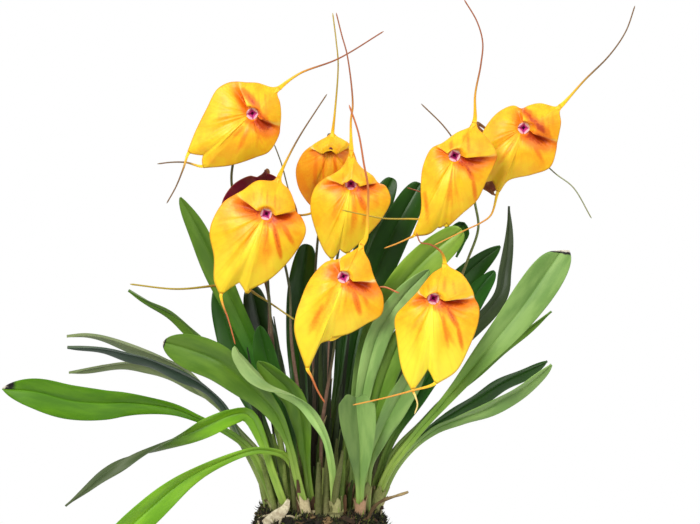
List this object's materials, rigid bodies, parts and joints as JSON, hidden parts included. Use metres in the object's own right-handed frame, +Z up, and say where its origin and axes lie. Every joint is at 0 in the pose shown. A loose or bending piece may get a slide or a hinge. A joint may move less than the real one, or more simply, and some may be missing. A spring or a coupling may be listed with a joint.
{
  "type": "potted masdevallia orchid",
  "caption": "Tufted orchid with strap leaves and tailed yellow-orange blooms on thin stems, standing in a plain round clay pot.",
  "frame": {"origin": "centre of the pot's flat underside", "axes": "+Z up along the pot's axis, -Y towards the side that the blooms face, +X to the right seen from there"},
  "size_m": [0.3445, 0.1848, 0.3642],
  "materials": {
    "pot_clay": "matt fired clay, slightly weathered",
    "moss_and_bark": "damp moss over bark",
    "leaf": "smooth leathery leaf, soft gloss",
    "stem": "thin green-brown stem",
    "sepal": "waxy yellow sepal with orange flush",
    "column": "waxy pink and magenta"
  },
  "bodies": {
    "root": {"pot": "pot_clay", "growing_medium": "moss_and_bark", "leaf_far_left": "leaf", "leaf_twisted": "leaf", "leaf_low_left": "leaf", "leaf_left_broad": "leaf", "leaf_left_pair": "leaf", "leaf_mid_left": "leaf", "leaf_thin_left": "leaf", "leaf_upright_left": "leaf", "leaf_dark_left": "leaf", "leaf_centre_back": "leaf", "leaf_centre_left": "leaf", "leaf_curled": "leaf", "leaf_behind_curled": "leaf", "leaf_notched": "leaf", "leaf_long_pale": "leaf", "leaf_sage_pair": "leaf", "leaf_low_right": "leaf", "leaf_big_right": "leaf", "leaf_right_pair": "leaf", "leaf_dark_upright": "leaf", "leaf_dark_broad": "leaf", "leaf_mid_right": "leaf", "leaf_tall_centre": "leaf", "leaf_tall_behind": "leaf", "leaf_hooked": "leaf", "leaf_right_tip": "leaf", "leaf_rear_group": "leaf", "stem_upper_left": "stem", "bloom_upper_left": "sepal", "column_upper_left": "column", "stem_left": "stem", "bloom_left": "sepal", "column_left": "column", "stem_back_centre": "stem", "bloom_back_centre": "sepal", "column_back_centre": "column", "stem_centre": "stem", "bloom_centre": "sepal", "column_centre": "column", "stem_lower_centre": "stem", "bloom_lower_centre": "sepal", "column_lower_centre": "column", "stem_lower_right": "stem", "bloom_lower_right": "sepal", "column_lower_right": "column", "stem_upper_right": "stem", "bloom_upper_right": "sepal", "column_upper_right": "column", "stem_far_right": "stem", "bloom_far_right": "sepal", "column_far_right": "column", "stem_back_left": "stem", "bloom_back_left": "sepal", "column_back_left": "column", "stem_back_right": "stem", "bloom_back_right": "sepal", "column_back_right": "column"}
  },
  "joints": []
}
